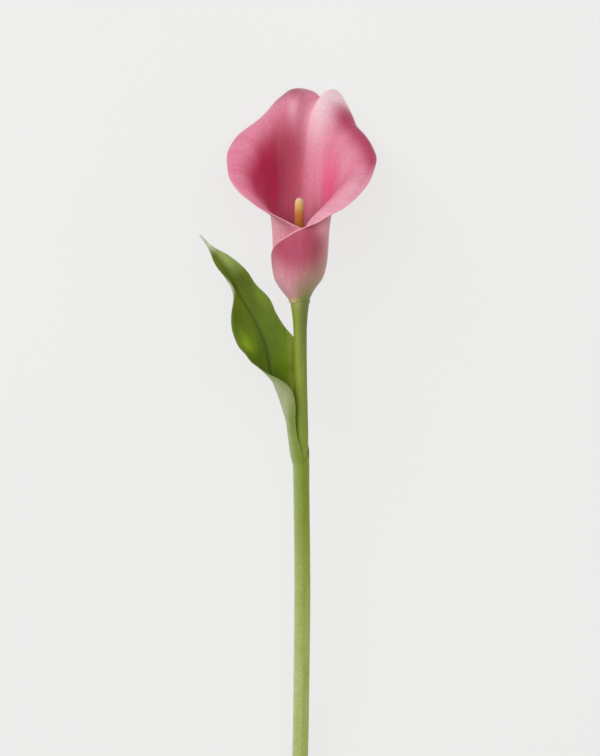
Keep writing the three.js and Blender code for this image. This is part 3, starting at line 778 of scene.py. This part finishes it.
def scape_paint():
    p = Paint("scape")
    angle, along, side = p.values("angle", "along", "side")
    stripe = p.streaks(angle, 5.0, along, 0.02, 0.0, 3.0, 0.6)
    broad = p.streaks(angle, 0.8, along, 0.03, 4.0)
    grain = p.grains(1500.0)
    # Painted shade on the scape's right side, away from the light, strongest near the flower
    right_side_shade = p.times(p.smooth(side, -0.55, 0.25), p.smooth(along, -46.0, -12.0, 0.25, 1.0))
    # The yellowish top of the scape, painted stronger on its lit left side than on its shaded right
    yellow_top_and_light = p.times(p.smooth(along, -9.0, -1.0), p.smooth(side, -0.4, 0.4, 0.7, 0.1))
    skin = p.coats(
        p.clouds(broad, (124, 142, 32), (142, 158, 42)),
        (p.smooth(stripe, 0.35, 0.75, 0.0, 0.4), (160, 176, 80)),
        (p.times(right_side_shade, 0.75), (96, 104, 50)),
        (yellow_top_and_light, (172, 160, 98)),
    )
    # The cut face: pale flesh with a green edge, dotted with darker bundles
    flesh = p.mix(p.smooth(p.value("core"), 0.82, 0.97), (196, 206, 150), (120, 146, 56))
    flesh = p.mix(p.smooth(p.cells(1500.0), 0.12, 0.3), (150, 166, 96), flesh)
    colour = p.coats(
        p.mix(p.value("cut"), skin, flesh),
        (p.smooth(grain, 0.35, 0.75, 0.0, 0.12), (200, 210, 140)),
    )
    height = p.add(p.times(stripe, 0.9), p.times(grain, 0.25))
    roughness = p.smooth(p.add(grain, p.times(stripe, 0.4)), 0.4, 1.0, 0.36, 0.5)
    return p.finish(
        colour, roughness, height, 0.00016,
        Subsurface_Weight=0.08, Subsurface_Radius=(0.7, 1.0, 0.25), Subsurface_Scale=0.001,
        Specular_IOR_Level=0.25,
    )


def spadix_paint():
    p = Paint("spadix")
    along, floret, side = p.values("along", "floret", "side")
    speck = p.grains(2200.0)
    broad = p.grains(160.0)
    colour = p.coats(
        p.mix(p.smooth(along, 40.5, 48.0), (204, 112, 22), (255, 218, 134)),
        # paler tip: partly its own colour, partly a painted highlight
        (p.smooth(along, 46.0, 50.0), (255, 238, 196)),
        # painted shade on the spadix's right side, away from the light
        (p.smooth(side, -0.5, 1.0, 0.0, 0.45), (150, 70, 20)),
        (p.smooth(broad, 0.35, 0.7, 0.0, 0.2), (236, 170, 80)),
        # painted shade in the hollows between the florets
        (p.smooth(floret, -0.6, 0.3, 0.4, 0.0), (176, 96, 30)),
        (p.smooth(speck, 0.5, 0.8, 0.0, 0.4), (255, 232, 180)),
    )
    height = p.add(p.times(speck, 0.6), floret)
    return p.finish(
        colour, p.smooth(speck, 0.3, 0.8, 0.6, 0.8), height, 0.00012,
        Subsurface_Weight=0.15, Subsurface_Radius=(1.0, 0.6, 0.25), Subsurface_Scale=0.0008,
        Sheen_Weight=0.15,
    )


def patches(x, y, rows):
    """The sum of soft round patches of colour: strength, middle in x and y, reach in x and y."""
    return sum(
        strength * np.exp(-((x - x0) / x_reach) ** 2 - ((y - y0) / y_reach) ** 2)
        for strength, x0, y0, x_reach, y_reach in rows
    )


def spathe_masks(turn, share, lengths):
    """How much of each of its colours the spathe has at each place, from 0 to 1.

    The share runs along a ray from its foot to its margin, and so do the lengths, in millimetres."""
    # Painted shade on the wall of the throat, whose pink is also deeper there: most of it at the back and
    # left, and fainter at the right
    wall_top = 0.6 + 0.002 * np.clip(turn - 200, 0, 45)
    wall_and_shade = plateau(turn, 158, 196, 258, 276) * fade(share, wall_top, wall_top + 0.18)
    wall_and_shade = wall_and_shade * (0.7 + 0.3 * smoothstep(share, 0.32, 0.5))
    wall_and_shade = wall_and_shade + 0.3 * window(turn, 96, 166, 18) * fade(share, 0.36, 0.6)
    wall_and_shade = wall_and_shade + 0.12 * window(turn, 144, 182, 12) * fade(share, 0.5, 0.7)
    # The crimson of the left side, with painted shade over it where the wall and flare face away from the
    # light, which reaches higher the further round to the front it is
    deep_top = np.minimum(0.72 + 0.0042 * (turn - 239), 0.885)
    crimson_and_shade = window(turn, 224, 304, 20) * plateau(share, 0.36, 0.56, deep_top - 0.11, deep_top + 0.08)
    # Painted shade in a band under the right side's margin, where it rolls back from the light, and on the
    # crest of the left hump
    rim_foot = np.clip(0.755 + 0.0033 * (130 - turn), 0.755, 0.92)
    rim_shade = smoothstep(share, rim_foot, rim_foot + 0.13) * window(turn, 84, 143, 11)
    crest = smoothstep(share, 0.79, 0.87) * window(turn, 182, 222, 9) * smoothstep(turn, 176, 204)
    # The pale lip of the open front, and the pale hem of the wrapped margin outside
    lip = smoothstep(share, 0.97, 0.992) * (1 - window(turn, 90, 290, 20))
    hem = 0.75 * smoothstep(share, 0.988, 0.996) * fade(turn, -20, 40)
    # The red outside of the wrapped front, a trace of it all round, and the wedge behind the wrap
    flush_foot = 13.5 + 5 * smoothstep(-turn, 5, 60)
    flush = 0.95 * window(turn, -145, 60, 34) * window(lengths, flush_foot, 60, 10)
    flush = flush + 0.25 * window(lengths, 30, 80, 16) * window(turn, 8, 352, 8)
    flush = flush + 0.4 * smoothstep(turn, 306, 340) * (1 - 0.5 * smoothstep(lengths, 20, 12))
    # The green that rises from the foot outside, higher towards the back
    olive_reach = np.where(turn > 0, 11 + 0.15 * turn, np.maximum(11 + 0.25 * turn, 4))
    olive = np.exp(-((np.maximum(lengths - 1, 0) / olive_reach) ** 2))
    olive = 0.95 * plateau(turn, -60, 30, 156, 200) * olive
    masks = {
        "wall_and_shade": wall_and_shade, "crimson_and_shade": crimson_and_shade, "rim_shade": rim_shade, "crest": crest, "lip": lip, "hem": hem, "flush": flush,
        "foot": fade(lengths, -0.6, 1.2 + 5 * smoothstep(turn, 0, 50)),
        "olive": olive + patches(turn, lengths, [KEEL_OLIVE]),
        "hot": patches(turn, share, HOT),
        # paler pink, partly painted light
        "pale_and_lit": patches(turn, share, PALE_AND_LIT) + patches(turn, lengths, [UNDER_LIP_LIGHT]) * (turn < 90),
        "left_wall_shade": patches(turn, share, [LEFT_WALL_SHADE]),
        "throat_light": patches(turn, share, [THROAT_LIGHT]),
    }
    return {key: np.clip(mask, 0, 1) for key, mask in masks.items()}


def spathe():
    grid, turns, shares, lengths = spathe_grid(SPATHE_RAYS, SPATHE_STEPS)
    turn, share = np.meshgrid(turns, shares)

    # The open rim ripples, and its lip lies 1 mm lower on the right front
    ripple = smoothstep(share, 0.72, 0.98) * window(turn, 20, 340, 14) * waves(turn, RIPPLES)
    grid = grid + sheet_normals(grid) * ripple[..., None]
    grid[..., 1] -= window(turn, 0, 32, 12) * smoothstep(share, 0.88, 1)

    # The sheet thins towards its margin, and in the collar over the scape
    thickness = SPATHE_THICK - EDGE_THINNING * share**2.2
    thickness = thickness * (0.3 + 0.7 * smoothstep(lengths, -collar(turn) - 0.2, COLLAR_TOP))

    # The rolled shoulders lie flat where they rest
    grid[..., 2] = np.maximum(grid[..., 2], thickness / 2 - REST_DEPTH - REST_PRESS)
    points, faces, place, face = closed_sheet(grid, thickness)

    # The veins of the wrapped front lean to the right as they rise
    lean = VEIN_LEAN * np.maximum(lengths - 14, 0) * window(turn, -150, 80, 40)
    values = {"turn": turn - lean, "reach": lengths, **spathe_masks(turn, share, lengths)}
    values = {key: value.ravel()[place] for key, value in values.items()}
    values["inner"] = 1 - face
    return add_piece("spathe_petal", points, faces, values, spathe_paint(), "spathe")


def leaf():
    half = LEAF_HALF_COLUMNS
    grid, y, arc = leaf_grid(half, SHEATH_ROWS, BLADE_ROWS)
    in_front = np.arange(-half, half + 1) < 0
    side = np.where(in_front, -1, 1)
    across = arc * side
    along = np.repeat(y[:, None], 2 * half + 1, 1)
    width = np.maximum(arc[:, [0, -1]], 0.5)[:, np.where(in_front, 0, 1)]
    out = arc / width
    normals = sheet_normals(grid, SHEATH_ROWS + 1)

    # The wavy sides of the blade, and the groove over its midrib
    wave = 0.4 * np.where(in_front, smoothstep(along, -30, -16), smoothstep(along, -48, -32))
    wave = wave * fade(along, 10, 30) * out**2 * np.sin(along / 3.4 + side)
    fold = plateau(along, -62, -44, 0, 24)
    groove = -0.55 * np.exp(-np.abs(across) / 1.5) * fold
    grid = grid + normals * (wave + groove)[..., None]

    # The front margin, drawn in a little above the petiole
    pull = 0.18 * np.exp(-(((along + 36) / 5) ** 2)) + 0.04 * np.exp(-(((along + 24) / 3.5) ** 2))
    pull = pull * out**2 * in_front
    grid = grid + (grid[:, half : half + 1] - grid) * pull[..., None]

    # Thin at the margins and towards the tip, and thick along the midrib, which stands out below
    rib = np.exp(-((np.abs(across) / (0.9 + 0.4 * fold)) ** 1.5)) * plateau(along, -66, -46, -12, 6)
    opened = smoothstep(along, SHEATH_MOUTH, SHEATH_MOUTH + 4)
    edge = smoothstep(out, 0.86, 1) * opened
    thickness = LEAF_THICK - 0.3 * edge + 0.45 * rib * fade(along, 0, 30)
    thickness = thickness * (1 - 0.45 * smoothstep(along, 10, 33))
    grid = grid - normals * (0.2 * rib)[..., None]

    # The rear margin lies close to the sheath just above its mouth
    tucked = smoothstep(out, 0.8, 1) * ~in_front * window(along, SHEATH_MOUTH, -64, 2)
    grid = grid + normals * (0.3 * tucked)[..., None]
    thickness = thickness * (1 - 0.5 * tucked)
    points, faces, place, face = closed_sheet(grid, thickness, SHEATH_ROWS + 1)

    outer_start = 0.15 + 0.37 * smoothstep(along, -62, -48)
    inset = (1 - out) * width
    turned = window(along, 3.5, 10, 3) * in_front
    values = {
        "across": across, "along": along, "away": arc, "rib": rib, "edge": edge,
        "blade": smoothstep(along, -60, -40),
        "tip": smoothstep(along, 22.5, 28),
        "bright_and_lit": patches(across, along, BRIGHT_AND_LIT),
        # Painted light on the leaf beside the scape, where the scape shades it
        "near": 0.85 * smoothstep(grid[..., 0], -8, -4) * window(along, -54, -16, 6) * (across > 0),
        # Painted shade across the petiole's under face, away from its pale lit side
        "pale_side_to_shade": smoothstep(out, outer_start, outer_start + 0.75),
        # Painted shade along the slit of the sheath
        "slit_shade": 0.15 * smoothstep(out, 0.95, 0.985),
        "turned": turned * fade(inset, 0.6, 1.3),
        "shaded": turned * fade(inset, 2, 4),
    }
    values = {key: value.ravel()[place] for key, value in values.items()}
    values["upper"] = face
    return add_piece("leaf_blade", points, faces, values, leaf_paint(), "leaf")


def scape():
    sides = SCAPE_SIDES

    # Rings up to just below the seat, closer together under the flower
    y = np.concatenate([np.linspace(CUT_END, -20, 180), np.linspace(-19, 0, 40)])
    y = y[y < -SEAT_GAP - 0.3]
    centre, _, right, front = stem_frame(y)
    angle = ring_angles(sides)
    ridges = 0.03 * (np.sin(14 * angle) * fade(y, -12, -2)[:, None] - 1)
    swelling = 0.27 * window(y, -90, -64, 7)[:, None]
    radius = keyed(SCAPE_RADIUS, y) + ridges + swelling

    # The cut face below, as rings of growing size, and the seat and neck inside the spathe above
    cut_shares = np.array([0.3, 0.55, 0.8, 0.97])
    cut_rings = np.zeros(len(cut_shares), int)
    shoulder = keyed(SCAPE_RADIUS, 0)[0]
    neck_y = np.array([-SEAT_GAP, -SEAT_GAP, NECK_TOP / 2, NECK_TOP])
    neck_sizes = np.array([shoulder - 0.15, NECK_RADIUS + 0.1, NECK_RADIUS, NECK_RADIUS - 0.1])
    neck_centre, _, neck_right, neck_front = stem_frame(np.zeros(len(neck_y)))
    neck_centre[:, 1] = neck_y
    ring = np.ones((1, sides))
    points, faces = ring_stack(
        np.concatenate([centre[cut_rings], centre, neck_centre]),
        np.concatenate([right[cut_rings], right, neck_right]),
        np.concatenate([front[cut_rings], front, neck_front]),
        np.concatenate([CUT_RADIUS * cut_shares[:, None] * ring, radius, neck_sizes[:, None] * ring]),
    )
    y = np.concatenate([y[cut_rings], y, neck_y])
    rows = len(y)
    cut, core = np.zeros(rows), np.ones(rows)
    cut[: len(cut_shares)] = 1
    core[: len(cut_shares)] = cut_shares
    core = each_ring(core, sides)
    core[-2] = 0
    values = {
        "along": each_ring(y, sides), "cut": each_ring(cut, sides), "core": core,
        "angle": each_side(np.abs(angle - np.pi), rows),
        "side": each_side(np.sin(angle), rows),
    }
    return add_piece("scape_stem", points, faces, values, scape_paint(), "scape")


def spadix():
    sides, rows = SPADIX_SIDES, SPADIX_ROWS
    foot = NECK_TOP + SEAT_GAP
    share = np.linspace(0, 1, rows)
    y = foot + (SPADIX_TIP - foot) * share
    body = keyed(SPADIX_RADIUS, share)[:, 0]
    dome = np.sqrt(np.maximum(1 - np.maximum(1 - (SPADIX_TIP - y) / DOME_LENGTH, 0) ** 2, DOME_END**2))
    angle = ring_angles(sides)
    a, s = np.meshgrid(angle, y)
    floret = sum(np.cos(around * a + along * s) for around, along in FLORET_SPIRALS) / len(FLORET_SPIRALS)
    ends = plateau(share, 0, 0.02, 0.985, 1)
    radius = (body * dome)[:, None] + FLORET_RELIEF * floret * ends[:, None]
    centre = np.stack([-0.8 + 0.3 * share, y, 0.8 * share**2], -1)
    right, front = np.tile(X, (rows, 1)), np.tile(Z, (rows, 1))
    points, faces = ring_stack(centre, right, front, radius)
    values = {
        "along": each_ring(y, sides), "floret": np.append(floret, [0, 0]),
        "side": each_side(np.sin(angle), rows),
    }
    return add_piece("spadix_florets", points, faces, values, spadix_paint(), "spadix")


def floor():
    p = Paint("floor")
    colour = p.clouds(p.grains(3.0), (104, 104, 103), (108, 108, 107))
    material = p.finish(colour, 0.85, p.grains(900.0), 0.00002, Specular_IOR_Level=0.1)
    p.put(p.shader.inputs["Emission Color"], srgb(236, 236, 235))
    p.put(p.shader.inputs["Emission Strength"], FLOOR_GLOW)
    mesh = bpy.data.meshes.new("floor")
    corners = [(-FLOOR_REACH, -FLOOR_REACH, 0), (FLOOR_REACH, -FLOOR_REACH, 0),
               (FLOOR_REACH, FLOOR_REACH, 0), (-FLOOR_REACH, FLOOR_REACH, 0)]
    mesh.from_pydata(corners, [], [(0, 1, 2, 3)])
    mesh.materials.append(material)
    piece = bpy.data.objects.new("floor", mesh)
    bpy.context.scene.collection.objects.link(piece)


def area_light(name, place, size, power):
    data = bpy.data.lights.new(name, "AREA")
    data.shape = "SQUARE"
    data.size = size
    data.energy = power
    light = bpy.data.objects.new(name, data)
    bpy.context.scene.collection.objects.link(light)
    light.location = place
    light.rotation_euler = (Vector(LIT_AT) - Vector(place)).to_track_quat("-Z", "Y").to_euler()


def place_camera():
    data = bpy.data.cameras.new("camera")
    data.lens = LENS
    data.sensor_width = SENSOR
    data.clip_start, data.clip_end = CLIP
    camera = bpy.data.objects.new("camera", data)
    bpy.context.scene.collection.objects.link(camera)
    camera.location = CAMERA_AT
    bpy.context.scene.camera = camera


def studio_light():
    world = bpy.data.worlds.new("world")
    bpy.context.scene.world = world
    world.use_nodes = True
    background = world.node_tree.nodes["Background"]
    background.inputs["Color"].default_value = srgb(242, 243, 244)
    background.inputs["Strength"].default_value = SKY
    bpy.context.scene.view_settings.view_transform = "Standard"
    for name, (place, size, power) in LIGHTS.items():
        area_light(name, place, size, power)


place_camera()
studio_light()
floor()
spathe()
spadix()
scape()
leaf()
